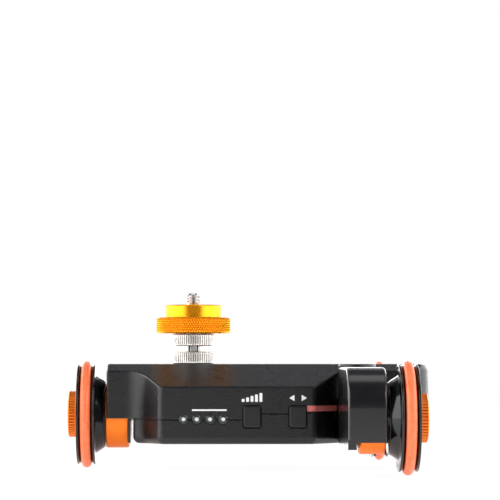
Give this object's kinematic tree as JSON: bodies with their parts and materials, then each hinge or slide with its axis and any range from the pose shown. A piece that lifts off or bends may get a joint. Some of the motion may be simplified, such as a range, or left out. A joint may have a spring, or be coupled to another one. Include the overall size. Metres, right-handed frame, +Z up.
{
  "type": "motorised camera dolly",
  "caption": "Low three-wheel motorised camera dolly: black body, swinging wheel arms, cord tyres and a knurled camera post.",
  "frame": {"origin": "on the floor, under the middle of the bounding box", "axes": "+Z up, +Y from the button face to the rear, +X from the drive wheel to the two arms; wheels roll along Y"},
  "size_m": [0.1624, 0.208, 0.0785],
  "materials": {
    "shell_black": "fine-textured black plastic",
    "arm_black": "satin black painted metal",
    "wheel_black": "black anodised, turned",
    "orange_anodised": "orange anodised, satin",
    "tyre_orange": "smooth orange-red rubber cord",
    "bright_nickel": "bright nickel plate, knurled",
    "steel": "plain turned steel",
    "brass": "plain turned brass",
    "button_black": "satin black plastic",
    "lamp_clear": "clear moulded lamp",
    "window_red": "dark red translucent plastic",
    "board_green": "solder-masked circuit board",
    "cell_wrap": "shrink-wrapped cell"
  },
  "bodies": {
    "chassis": {"upper_shell": "shell_black", "lower_shell": "shell_black", "case_screws": "steel", "ir_window": "window_red", "status_leds": "lamp_clear", "tact_switches": "button_black", "circuit_board": "board_green", "charging_socket": "steel", "power_switch_case": "steel", "battery_cell": "cell_wrap", "battery_cradle": "shell_black", "gear_motor": "steel", "motor_cradle": "shell_black", "drive_bearing_block": "orange_anodised", "drive_bearings": "steel", "drive_side_plate": "arm_black", "side_plate_screws": "steel", "pivot_bolts": "steel", "threaded_insert": "brass", "camera_spigot": "bright_nickel", "camera_stud": "steel"},
    "drive_wheel": {"drive_wheel_hub": "wheel_black", "drive_tyre": "tyre_orange", "drive_wheel_knob": "orange_anodised", "drive_axle": "steel", "drive_gear": "brass"},
    "motor_rotor": {"motor_pinion": "brass", "motor_shaft": "steel"},
    "front_arm": {"front_arm_housing": "arm_black", "front_arm_cover": "arm_black", "front_arm_cover_screws": "steel", "front_arm_bush": "brass", "front_bearing_block": "orange_anodised", "front_axle_bearings": "steel", "front_set_screw": "steel"},
    "front_wheel": {"front_wheel_hub": "wheel_black", "front_tyre": "tyre_orange", "front_wheel_knob": "orange_anodised", "front_wheel_axle": "steel", "front_axle_clip": "steel"},
    "rear_arm": {"rear_arm_housing": "arm_black", "rear_arm_cover": "arm_black", "rear_arm_cover_screws": "steel", "rear_arm_bush": "brass", "rear_bearing_block": "orange_anodised", "rear_axle_bearings": "steel", "rear_set_screw": "steel"},
    "rear_wheel": {"rear_wheel_hub": "wheel_black", "rear_tyre": "tyre_orange", "rear_wheel_knob": "orange_anodised", "rear_wheel_axle": "steel", "rear_axle_clip": "steel"},
    "speed_button": {"speed_button": "button_black"},
    "direction_button": {"direction_button": "button_black"},
    "power_switch": {"power_switch_knob": "button_black"},
    "lock_disc": {"lock_disc": "orange_anodised"}
  },
  "joints": [
    {"name": "drive_wheel_spin", "type": "hinge", "parent": "chassis", "child": "drive_wheel", "pos_m": [-0.0729, 0, 0.024], "axis": [1, 0, 0], "continuous": true},
    {"name": "motor_spin", "type": "hinge", "parent": "chassis", "child": "motor_rotor", "pos_m": [-0.047, 0.01, 0.03167], "axis": [1, 0, 0], "continuous": true},
    {"name": "front_arm_swing", "type": "hinge", "parent": "chassis", "child": "front_arm", "pos_m": [0.0474, -0.0275, 0.037], "axis": [0, 0, 1], "range_deg": [-40, 40]},
    {"name": "front_wheel_spin", "type": "hinge", "parent": "front_arm", "child": "front_wheel", "pos_m": [0.0651, -0.08, 0.024], "axis": [1, 0, 0], "continuous": true},
    {"name": "rear_arm_swing", "type": "hinge", "parent": "chassis", "child": "rear_arm", "pos_m": [0.0474, 0.0275, 0.037], "axis": [0, 0, 1], "range_deg": [-40, 40]},
    {"name": "rear_wheel_spin", "type": "hinge", "parent": "rear_arm", "child": "rear_wheel", "pos_m": [0.0651, 0.08, 0.024], "axis": [1, 0, 0], "continuous": true},
    {"name": "speed_button_press", "type": "slide", "parent": "chassis", "child": "speed_button", "axis": [0, 1, 0], "range_m": [0, 0.0008], "stiffness_N_per_m": 500, "springref_m": -0.002},
    {"name": "direction_button_press", "type": "slide", "parent": "chassis", "child": "direction_button", "axis": [0, 1, 0], "range_m": [0, 0.0008], "stiffness_N_per_m": 500, "springref_m": -0.002},
    {"name": "power_switch_slide", "type": "slide", "parent": "chassis", "child": "power_switch", "axis": [1, 0, 0], "range_m": [0, 0.003]},
    {"name": "lock_disc_turn", "type": "hinge", "parent": "chassis", "child": "lock_disc", "pos_m": [-0.0249, 0, 0.066], "axis": [0, 0, 1], "continuous": true}
  ],
  "couplings": [
    {"joint": "motor_spin", "follows": "drive_wheel_spin", "ratio": -2.5}
  ]
}
